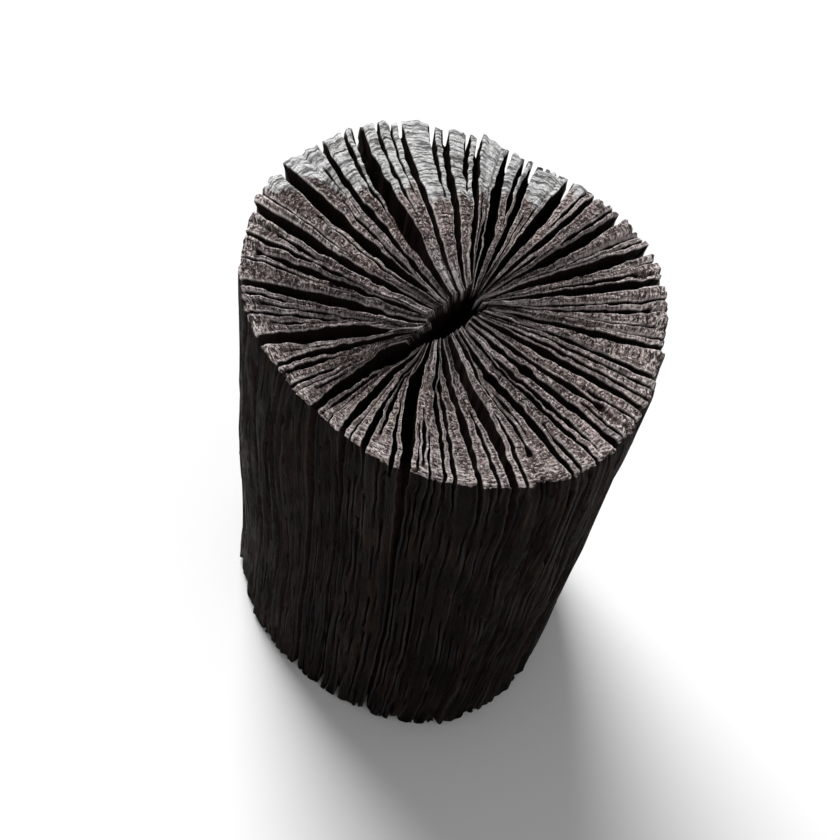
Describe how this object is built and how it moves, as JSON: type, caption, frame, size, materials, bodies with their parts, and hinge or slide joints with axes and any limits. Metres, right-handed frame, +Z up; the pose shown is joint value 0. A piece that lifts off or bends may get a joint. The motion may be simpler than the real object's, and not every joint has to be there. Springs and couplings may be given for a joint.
{
  "type": "charcoal lump",
  "caption": "Short round lump of wood charcoal standing on its sawn base, with radial drying checks on both ends and a burnt-out pith.",
  "frame": {"origin": "on the surface that the lump stands on, under the middle of its bounding box", "axes": "+Z up along the grain, +Y towards the side where the pith is farthest from the outside, +X to the right of someone who looks along +Y"},
  "size_m": [0.0698, 0.0704, 0.095],
  "materials": {
    "char": "charred black-brown wood with a faint silvery sheen on the ribs"
  },
  "bodies": {
    "root": {"charcoal_lump": "char"}
  },
  "joints": []
}
